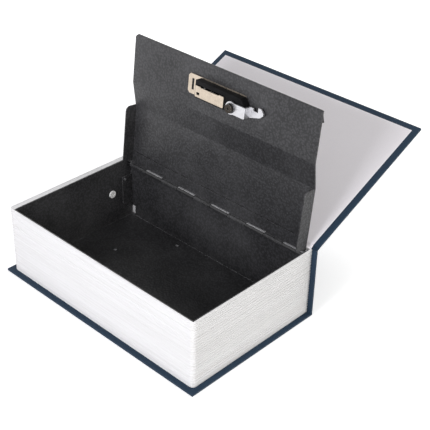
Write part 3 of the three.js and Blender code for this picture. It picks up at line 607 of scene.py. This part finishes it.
def tube_faces(rings, sides, capped=True):
    """Quads between closed rings of equal count; each end is closed by quads from one half to the other."""
    ring = np.arange(rings - 1)[:, None] * sides
    side = np.arange(sides)[None, :]
    after = (side + 1) % sides
    quads = np.stack([ring + side, ring + after, ring + sides + after, ring + sides + side], axis=-1)
    faces = [tuple(quad) for quad in quads.reshape(-1, 4)]
    if capped:
        near = np.arange(sides // 2 - 1)
        far = sides - 1 - near
        cap = np.stack([near, far, far - 1, near + 1], axis=-1)
        faces += [tuple(quad) for quad in cap]
        faces += [tuple(quad) for quad in cap[:, ::-1] + (rings - 1) * sides]
    return faces


def rounded_outline(corners, radius, steps=5):
    """Closed outline through corners, each rounded by an arc between its two tangent points.

    The arc is a quadratic curve: p = (1-t)^2 a + 2t(1-t) corner + t^2 b, with a and b a radius away.
    """
    corners = np.asarray(corners, float)
    before = np.roll(corners, 1, axis=0)
    after = np.roll(corners, -1, axis=0)
    toward = (before - corners) / np.linalg.norm(before - corners, axis=1)[:, None]
    away = (after - corners) / np.linalg.norm(after - corners, axis=1)[:, None]
    t = np.linspace(0, 1, steps)[None, :, None]
    start = (corners + toward * radius)[:, None]
    end = (corners + away * radius)[:, None]
    curve = (1 - t) ** 2 * start + 2 * t * (1 - t) * corners[:, None] + t ** 2 * end
    return curve.reshape(-1, 2)


def inset_outline(outline, distance):
    """Moves a counter-clockwise outline inwards along the normals at its points."""
    tangent = np.roll(outline, -1, axis=0) - np.roll(outline, 1, axis=0)
    tangent /= np.linalg.norm(tangent, axis=1)[:, None]
    inward = np.stack([-tangent[:, 1], tangent[:, 0]], axis=-1)
    return outline + inward * distance


def wrapped_bar(outline, left, right, radius, steps=4, spans=24):
    """Outline in Y and Z carried along X, drawn in at both ends by a quarter round.

    A ring at an end lies at x = left + r (1 - cos a) and is inset by r (1 - sin a), a from 0 to 90 degrees.
    Returns vertices, faces and a flat map: X, and the distance round the outline.
    """
    angles = np.linspace(0, math.pi / 2, steps)
    ends_x = radius * (1 - np.cos(angles))
    ends_in = radius * (1 - np.sin(angles))
    middle = np.linspace(left + radius, right - radius, spans)[1:-1]
    places = np.concatenate([left + ends_x, middle, right - ends_x[::-1]])
    insets = np.concatenate([ends_in, np.zeros(len(middle)), ends_in[::-1]])
    round_way = np.concatenate([[0], np.cumsum(np.linalg.norm(np.diff(outline, axis=0), axis=1))])
    rings, flat = [], []
    for place, inset in zip(places, insets):
        ring = inset_outline(outline, inset) if inset > 0 else outline
        rings.append(np.column_stack([np.full(len(ring), place), ring]))
        flat.append(np.column_stack([np.full(len(ring), place), round_way]))
    return np.concatenate(rings), tube_faces(len(places), len(outline)), np.concatenate(flat)


CASE_EDGE_RADIUS = 0.30 * MM
CASE_END_RADIUS = 0.28 * MM
COVER_EDGE_RADIUS = 0.55 * MM
COVER_END_RADIUS = 0.40 * MM
PAPER_COVERS_CLOTH = 0.05 * MM
SPINE_PAST_BLOCK = 0.03 * MM


def case_cloth():
    """Cloth over the back board and spine: an L-shaped outline with soft corners carried along X."""
    back_high = BACK_TOP - PAPER_COVERS_CLOTH
    spine_inner = BLOCK_HIGH[1] + SPINE_PAST_BLOCK
    outline = rounded_outline(
        [
            (CASE_LOW[1], CASE_LOW[2]),
            (CASE_HIGH[1], CASE_LOW[2]),
            (CASE_HIGH[1], CASE_HIGH[2]),
            (spine_inner, CASE_HIGH[2]),
            (spine_inner, back_high),
            (CASE_LOW[1], back_high),
        ],
        CASE_EDGE_RADIUS,
    )
    vertices, faces, flat = wrapped_bar(outline, CASE_LOW[0], CASE_HIGH[0], CASE_END_RADIUS)
    piece = mesh_piece("case_wrap", vertices, faces, CLOTH_FINISH, "book", flat)
    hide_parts("case_cloth")


def cover_cloth():
    """Cloth over the front board: a thin rectangle with soft corners carried along X, then opened."""
    outline = rounded_outline(
        [
            (-COVER_LENGTH, COVER_INNER),
            (-COVER_JOINT_GAP, COVER_INNER),
            (-COVER_JOINT_GAP, COVER_OUTER),
            (-COVER_LENGTH, COVER_OUTER),
        ],
        COVER_EDGE_RADIUS,
    )
    vertices, faces, flat = wrapped_bar(outline, CASE_LOW[0], CASE_HIGH[0], COVER_END_RADIUS)
    piece = mesh_piece("cover_wrap", turned_about_pivot(vertices), faces, CLOTH_FINISH, "cover", flat)
    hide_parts("front_cloth")


SHEET_COLUMNS = 41
SHEET_ROWS = 31


def grid_quads(index):
    """Quads between the neighbours of a grid of vertex numbers."""
    corners = [index[:-1, :-1], index[:-1, 1:], index[1:, 1:], index[1:, :-1]]
    return np.stack(corners, axis=-1).reshape(-1, 4)


def paper_sheet(left, right, front, back, low, high, place=lambda points: points):
    """A pasted sheet: a thin slab whose face dips a little along its edges.

    Height over the sheet is high - dip * exp(-d / fall), with d the distance to the nearest edge. Rows of
    points lie close together at the edges and evenly over the rest.
    """
    fall = 0.9 * MM
    dip = 0.5 * (high - low)
    near = np.array([0, 0.15, 0.5, 1.2, 3.0]) * MM
    across = np.linspace(0, 1, SHEET_COLUMNS) * (right - left)
    along = np.linspace(0, 1, SHEET_ROWS) * (back - front)
    xs = np.unique(np.concatenate([left + near, right - near, left + across]))
    ys = np.unique(np.concatenate([front + near, back - near, front + along]))
    grid_x, grid_y = np.meshgrid(xs, ys)
    to_side = np.minimum(grid_x - left, right - grid_x)
    to_end = np.minimum(grid_y - front, back - grid_y)
    top = high - dip * np.exp(-np.minimum(to_side, to_end) / fall)
    upper = np.stack([grid_x, grid_y, top], axis=-1).reshape(-1, 3)
    lower = np.stack([grid_x, grid_y, np.full_like(top, low)], axis=-1).reshape(-1, 3)
    index = np.arange(top.size).reshape(top.shape)
    quads = grid_quads(index)
    below = quads[:, ::-1] + len(upper)
    rim = np.concatenate([index[0, :], index[1:, -1], index[-1, -2::-1], index[-2:0:-1, 0]])
    next_rim = np.roll(rim, -1)
    walls = np.stack([rim + len(upper), next_rim + len(upper), next_rim, rim], axis=-1)
    vertices = place(np.concatenate([upper, lower]))
    return vertices, np.concatenate([quads, below, walls])


def end_papers():
    """The pasted sheets inside both covers, each over the turned-in cloth."""
    sunk = 0.1 * MM
    rest_low, rest_high = outer_box("back_endpaper")
    vertices, faces = paper_sheet(
        rest_low[0], rest_high[0], rest_low[1], BLOCK_HIGH[1], BACK_TOP - sunk, BACK_TOP + 0.04 * MM
    )
    back = mesh_piece("back_paper", vertices, faces, PAPER, "book")
    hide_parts("back_endpaper")

    def opened(points):
        return turned_about_pivot(points * (-1, 1, -1))

    side = CASE_HIGH[0] - TURN_IN
    vertices, faces = paper_sheet(
        -side, side, -COVER_LENGTH + TURN_IN, -COVER_JOINT_GAP,
        -COVER_INNER - sunk, -COVER_INNER + 0.12 * MM, opened,
    )
    front = mesh_piece("cover_paper", vertices, faces, PAPER, "cover")
    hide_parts("front_endpaper")


STRIP_POINTS = 25
JOINT_CLOTH = 0.32 * MM
JOINT_PAPER = 0.16 * MM


def bent_strip(name, line, thickness, left, right, finish):
    """A thin strip whose middle line in Y and Z is a cubic through four points, carried along X."""
    line = np.asarray(line, float)
    stations = np.concatenate([[0], np.cumsum(np.linalg.norm(np.diff(line, axis=0), axis=1))])
    fine = np.linspace(0, stations[-1], STRIP_POINTS)
    middle = np.column_stack([np.polyval(np.polyfit(stations, line[:, axis], 3), fine) for axis in (0, 1)])
    tangent = np.gradient(middle, axis=0)
    tangent /= np.linalg.norm(tangent, axis=1)[:, None]
    normal = np.stack([-tangent[:, 1], tangent[:, 0]], axis=-1) * thickness / 2
    outline = np.concatenate([middle - normal, (middle + normal)[::-1]])
    vertices, faces, flat = wrapped_bar(outline, left, right, thickness / 2, 2)
    piece = mesh_piece(name, vertices, faces, finish, None, flat)
    return piece


def joint_strips():
    """Cloth and paper that bend where the cover turns on the spine.

    The cloth runs from just inside the spine's top to the cover's outer face, and the paper from the page
    block's rim to the cover's inner face.
    """
    outer = turned_about_pivot([[0, -COVER_JOINT_GAP - 0.5 * MM, COVER_OUTER - 0.2 * MM]])[0]
    spine_y, spine_top = CASE_HIGH[1] - 0.2 * MM, CASE_HIGH[2]
    cloth = bent_strip(
        "joint_strip",
        [
            (spine_y, spine_top - 0.6 * MM),
            (spine_y + 0.05 * MM, spine_top + 0.05 * MM),
            ((spine_y + outer[1]) / 2, (spine_top + outer[2]) / 2),
            (outer[1], outer[2]),
        ],
        JOINT_CLOTH, CASE_LOW[0] + 0.1 * MM, CASE_HIGH[0] - 0.1 * MM, CLOTH_FINISH,
    )
    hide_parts("joint_cloth")
    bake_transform(cloth)

    inner = turned_about_pivot([[0, -COVER_JOINT_GAP - 1.2 * MM, COVER_INNER - 0.08 * MM]])[0]
    rim_y, rim_z = BLOCK_HIGH[1] - 0.7 * MM, BLOCK_HIGH[2] + 0.12 * MM
    paper = bent_strip(
        "joint_paper",
        [
            (rim_y, rim_z),
            (rim_y + 0.8 * MM, rim_z + 0.05 * MM),
            ((rim_y + inner[1]) / 2 + 0.4 * MM, (rim_z + inner[2]) / 2 - 0.2 * MM),
            (inner[1], inner[2]),
        ],
        JOINT_PAPER, BLOCK_LOW[0] + 1.0 * MM, BLOCK_HIGH[0] - 1.0 * MM, PAPER,
    )
    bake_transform(paper)


BLOCK_CORNER_RADIUS = 3.0 * MM
BLOCK_SIDE_POINTS = 60
BLOCK_FRONT_POINTS = 100
BLOCK_TURN_POINTS = 7
BOX_GAP = 0.12 * MM
RIDGES = 26
ROWS_PER_RIDGE = 7
RIDGE_DEPTHS = (0.26 * MM, 0.46 * MM)
# The rim's rings: millimetres over the block's top, and the share of the way from its face to the box
RIM_ROUND = ((-0.06, 0.0), (0.0, 0.25), (0.0, 0.5), (0.0, 0.9), (-0.05, 1.0))


def block_path():
    """Points round the page block from above and the way out at each of them.

    The path runs along the left side, round a corner, along the fore-edge, round the other corner, along
    the right side and back along the spine, where the way out is zero, because that side has no ridges.
    """
    low, high, radius = BLOCK_LOW, BLOCK_HIGH, BLOCK_CORNER_RADIUS
    side = np.linspace(high[1], low[1] + radius, BLOCK_SIDE_POINTS)[:-1]
    front = np.linspace(low[0] + radius, high[0] - radius, BLOCK_FRONT_POINTS)[1:-1]
    rear = np.linspace(high[0], low[0], BLOCK_SIDE_POINTS)[1:-1]
    turn = np.linspace(0, math.pi / 2, BLOCK_TURN_POINTS)
    left_turn = np.column_stack([-np.cos(turn), -np.sin(turn)])
    right_turn = np.column_stack([np.sin(turn), -np.cos(turn)])
    stretches = (
        (np.column_stack([np.full(len(side), low[0]), side]), (-1, 0)),
        (left_turn * radius + (low[0] + radius, low[1] + radius), left_turn),
        (np.column_stack([front, np.full(len(front), low[1])]), (0, -1)),
        (right_turn * radius + (high[0] - radius, low[1] + radius), right_turn),
        (np.column_stack([np.full(len(side), high[0]), side[::-1]]), (1, 0)),
        (np.column_stack([rear, np.full(len(rear), high[1])]), (0, 0)),
    )
    path = np.concatenate([points for points, _ in stretches])
    outward = np.concatenate([np.broadcast_to(way, points.shape) for points, way in stretches])
    return path, outward


def page_edges():
    """Page block: its outline carried up in rows, with rounded ridges of uneven height on three sides.

    A ridge's inset is depth * |2t - 1|^5 with t from 0 to 1 up the ridge, plus a finer ripple; the depth
    drifts along the block as a sum of sines, is shallower along the fore-edge than at head and tail, and
    grows by exp(-d / 4 mm) towards a corner or the spine.
    The rim turns in over a small round to the box.
    """
    rng = np.random.default_rng(7)
    low, high = BLOCK_LOW, BLOCK_HIGH
    path, outward = block_path()
    ribbed = np.linalg.norm(outward, axis=1)
    from_side = np.minimum(path[:, 0] - low[0], high[0] - path[:, 0])
    from_end = np.minimum(path[:, 1] - low[1], high[1] - path[:, 1])
    near_corner = np.exp(-np.maximum(from_side, from_end) / (4 * MM))
    deeper = 0.45 + 0.9 * np.abs(outward[:, 0]) + 1.1 * near_corner

    heights = rng.uniform(0.75, 1.25, RIDGES)
    heights *= (high[2] - low[2]) / heights.sum()
    bottoms = low[2] + np.concatenate([[0], np.cumsum(heights)])[:-1, None]
    share = np.linspace(0, 1, ROWS_PER_RIDGE + 1)[:-1]
    row_z = np.concatenate([(bottoms + heights[:, None] * share).ravel(), [high[2] - 0.25 * MM]])
    row_t = np.concatenate([np.tile(share, RIDGES), [0.9]])
    depth = np.repeat(rng.uniform(*RIDGE_DEPTHS, RIDGES), ROWS_PER_RIDGE)
    depth = np.concatenate([depth, [0.2 * MM]])
    stations = np.linspace(0, 2 * math.pi, len(path))
    phase = rng.uniform(0, 2 * math.pi, (len(row_z), 3))
    drift = sum(np.sin(stations[None, :] * (3 + 4 * k) + phase[:, k: k + 1]) for k in range(3)) / 3
    groove = np.abs(2 * row_t - 1) ** 5
    inset = depth[:, None] * groove[:, None] * (1 + 0.35 * drift) * deeper
    ripple = 0.035 * MM * np.sin(row_z / (0.42 * MM))[:, None] * (1 + 0.6 * drift)
    push = (inset + ripple + 0.02 * MM) * ribbed[None, :]
    outer = path[None] - outward[None] * push[..., None]
    walls = np.dstack([outer, np.broadcast_to(row_z[:, None, None], outer.shape[:2] + (1,))])

    def ring(points, level):
        return np.column_stack([points, np.full(len(points), level)])

    inner = np.clip(path, BOX_LOW[:2] - BOX_GAP, BOX_HIGH[:2] + BOX_GAP)
    rim = []
    for lift, share_in in RIM_ROUND:
        soft = path - outward * 0.12 * MM * (1 + 2 * (lift == 0.0))
        rim.append(ring(soft + (inner - soft) * share_in, high[2] + lift * MM))
    rim += [ring(inner, high[2] - 3 * MM), ring(inner, low[2]), ring(path, low[2])]
    grid = np.concatenate([walls, rim])
    # Painted shade for the page moulding: most in the grooves, more near the corners and along head and tail
    painted_groove_shade = np.zeros(grid.shape[:2], np.float32)
    painted_groove_shade[: len(walls)] = groove[:, None] * (ribbed * deeper)[None, :]

    faces = tube_faces(*grid.shape[:2], capped=False)
    piece = mesh_piece("page_edges", grid.reshape(-1, 3), faces, PAGES, "book")
    attribute = piece.data.attributes.new("groove", "FLOAT", "POINT")
    attribute.data.foreach_set("value", painted_groove_shade.ravel())
    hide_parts("page_block")


LUG_FROM_BOX_SIDE = 0.95 * MM
LUG_FROM_BOX_FLOOR = 1.75 * MM
LUG_WIDTH = 3.5 * MM
LUG_HEIGHT = 7.1 * MM
LUG_BACK = -0.12 * MM
LUG_FACE = 0.72 * MM


def block_lug():
    """White lug of the page block that fills the relief hole low in the box's rear wall, domed at its rim."""
    left, low = BOX_LOW[0] + LUG_FROM_BOX_SIDE, BOX_LOW[2] + LUG_FROM_BOX_FLOOR

    def against_wall(points):
        return np.stack([points[:, 0], BOX_HIGH[1] - points[:, 2], points[:, 1]], axis=-1)

    vertices, faces = paper_sheet(
        left, left + LUG_WIDTH, low, low + LUG_HEIGHT, LUG_BACK, LUG_FACE, against_wall
    )
    lug = mesh_piece("block_lug", vertices, faces, PAGES, "book")


# Numbers on the dials: straight strokes across a cell one wide and two high
DIGIT_STROKES = (
    ((0, 0), (1, 0), (1, 2), (0, 2), (0, 0)),
    ((0.2, 1.6), (0.6, 2), (0.6, 0)),
    ((0, 2), (1, 2), (1, 1), (0, 1), (0, 0), (1, 0)),
    ((0, 2), (1, 2), (1, 1), (0.3, 1), (1, 1), (1, 0), (0, 0)),
    ((0, 2), (0, 1), (1, 1), (1, 2), (1, 0)),
    ((1, 2), (0, 2), (0, 1), (1, 1), (1, 0), (0, 0)),
    ((1, 2), (0, 2), (0, 0), (1, 0), (1, 1), (0, 1)),
    ((0, 2), (1, 2), (0.4, 0)),
    ((0, 1), (0, 2), (1, 2), (1, 0), (0, 0), (0, 1), (1, 1)),
    ((1, 1), (0, 1), (0, 2), (1, 2), (1, 0), (0, 0)),
)


FIGURE_CELL = np.array([1.4, 0.8]) * MM
STROKE_WIDTH = 0.28 * MM
STROKE_PLACES = 5
STROKE_SUNK = 0.25 * MM
STROKE_PROUD = 0.05 * MM
DIALS = ("dial_1", "dial_2", "dial_3")


def stroke_stations(points):
    """Left and right edge of each straight stroke at places along it, as (strokes, places, 2, 2).

    A stroke is widened by half a width to both sides, and its two ends reach half a width further.
    """
    along = points[1:] - points[:-1]
    along /= np.linalg.norm(along, axis=1, keepdims=True)
    side = np.stack([-along[:, 1], along[:, 0]], axis=1)[:, None] * STROKE_WIDTH / 2
    first = (points[:-1] - along * STROKE_WIDTH / 2)[:, None]
    last = (points[1:] + along * STROKE_WIDTH / 2)[:, None]
    middle = first + (last - first) * np.linspace(0, 1, STROKE_PLACES)[None, :, None]
    return np.stack([middle + side, middle - side], axis=2)


def dial_numbers():
    """White figures 0 to 9 round each dial, one tenth of a turn apart, standing a little proud.

    A point (u, v) of a figure goes to x = centre + u and to the angle -v / radius round the dial's axis.
    """
    start = math.pi / 2 - math.radians(JOINTS["lid_hinge"]["range_deg"][1])
    strokes, turns = [], []
    for figure, corners in enumerate(DIGIT_STROKES):
        made = stroke_stations((np.asarray(corners, float) - (0.5, 1.0)) * FIGURE_CELL)
        strokes.append(made)
        turns.append(np.full(len(made), start + figure * math.tau / len(DIGIT_STROKES)))
    strokes = np.concatenate(strokes)
    turns = np.concatenate(turns)[:, None, None]
    tube = np.array(tube_faces(STROKE_PLACES, 4))
    first = np.arange(len(strokes))[:, None, None] * STROKE_PLACES * 4
    faces = (tube[None] + first).reshape(-1, 4)
    for name in DIALS:
        centre = np.array(JOINTS[name + "_spin"]["pos_m"])
        low, high = outer_box(name)
        radius = (high[2] - low[2]) / 2
        angle = turns - strokes[..., 1] / radius
        inner, outer = [
            np.stack([
                centre[0] + strokes[..., 0],
                centre[1] + reach * np.cos(angle),
                centre[2] + reach * np.sin(angle),
            ], axis=-1)
            for reach in (radius - STROKE_SUNK, radius + STROKE_PROUD)
        ]
        rings = np.stack([inner[:, :, 0], inner[:, :, 1], outer[:, :, 1], outer[:, :, 0]], axis=2)
        piece = mesh_piece(name + "_numbers", rings.reshape(-1, 3), faces, DIAL_MARKS, name, smooth=False)


case_cloth()
cover_cloth()
end_papers()
joint_strips()
page_edges()
block_lug()
dial_numbers()


# Camera, light and floor

def fitted_camera():
    """Camera whose axes and focal length were fitted to the case's corners in the photograph."""
    data = bpy.data.cameras.new("camera")
    data.sensor_width = SENSOR
    data.lens = FOCAL_PIXELS / IMAGE_SIZE * SENSOR
    right = CAMERA_RIGHT.normalized()
    up = (-CAMERA_DOWN - right * (-CAMERA_DOWN).dot(right)).normalized()
    back = right.cross(up)
    turn = Matrix((right, up, back)).transposed().to_4x4()
    camera = bpy.data.objects.new("camera", data)
    camera.matrix_world = Matrix.Translation(CAMERA_PLACE) @ turn
    bpy.context.scene.collection.objects.link(camera)
    bpy.context.scene.camera = camera


def softbox(name, place, aim, size, watts, colour):
    """Square area lamp turned towards a point."""
    data = bpy.data.lights.new(name, "AREA")
    data.shape = "SQUARE"
    data.size = size
    data.energy = watts
    data.color = colour
    lamp = bpy.data.objects.new(name, data)
    turn = (Vector(place) - Vector(aim)).to_track_quat("Z", "Y").to_matrix().to_4x4()
    lamp.matrix_world = Matrix.Translation(place) @ turn
    bpy.context.scene.collection.objects.link(lamp)


def white_to_camera(graph, lit, level):
    """Strength of a white glow: one value for the camera and reflections, another for lighting."""
    path = graph.node("ShaderNodeLightPath")
    seen = graph.math("MAXIMUM", path.outputs["Is Camera Ray"], path.outputs["Is Glossy Ray"])
    seen = graph.math("MAXIMUM", seen, path.outputs["Is Transmission Ray"])
    return graph.math("MULTIPLY_ADD", seen, level - lit, lit)


WORLD_LIGHT = 0.19
FLOOR_SIZE = 12.0
FLOOR_DROP = 0.2 * MM
# Each lamp's name, place, aim, size, watts and colour
LAMPS = (
    ("key", (0.08, -0.92, 0.44), (0, 0, 0.03), 0.42, 6.7, (0.957, 0.952, 1.0)),
    ("fill", (0.9, -0.15, 0.45), (0, 0, 0.03), 0.7, 4.0, (1.0, 0.985, 0.955)),
    ("left", (-0.9, 0.1, 0.4), (0, 0, 0.03), 0.7, 1.5, (1, 1, 1)),
    ("rear", (0.15, 0.75, 0.95), (0, 0.1, 0.06), 0.7, 5.5, (1, 1, 1)),
)


def white_world():
    """White surroundings for the camera, with a low level of light of their own."""
    world = bpy.data.worlds.new("studio")
    bpy.context.scene.world = world
    world.use_nodes = True
    graph = Graph(world.node_tree)
    background = next(node for node in world.node_tree.nodes if node.type == "BACKGROUND")
    background.inputs["Color"].default_value = (1, 1, 1, 1)
    graph.link(white_to_camera(graph, WORLD_LIGHT, 1.0), background.inputs["Strength"])


def pale_floor():
    """Floor that keeps a soft shadow round the object and glows white to the camera further out."""
    line = np.linspace(-FLOOR_SIZE / 2, FLOOR_SIZE / 2, 3)
    grid_x, grid_y = np.meshgrid(line, line)
    vertices = np.column_stack([grid_x.ravel(), grid_y.ravel(), np.full(grid_x.size, -FLOOR_DROP)])
    quads = grid_quads(np.arange(grid_x.size).reshape(grid_x.shape))
    finish, graph, shader = new_material("pale_floor")
    shader.inputs["Base Color"].default_value = (0.93, 0.93, 0.93, 1)
    shader.inputs["Roughness"].default_value = 0.9
    shader.inputs["Specular IOR Level"].default_value = 0.0
    shader.inputs["Emission Color"].default_value = (1, 1, 1, 1)
    reach = graph.node("ShaderNodeVectorMath", operation="LENGTH")
    graph.link(graph.object_place(), reach.inputs[0])
    far = graph.ramp(reach.outputs["Value"], 0.25, 0.9, 0.45, 1.0)
    glow = graph.math("MULTIPLY", white_to_camera(graph, 0.0, 1.0), far)
    graph.link(glow, shader.inputs["Emission Strength"])
    mesh_piece("floor", vertices, quads, finish)


bpy.context.scene.view_settings.view_transform = "Standard"
fitted_camera()
white_world()
for lamp in LAMPS:
    softbox(*lamp)
pale_floor()
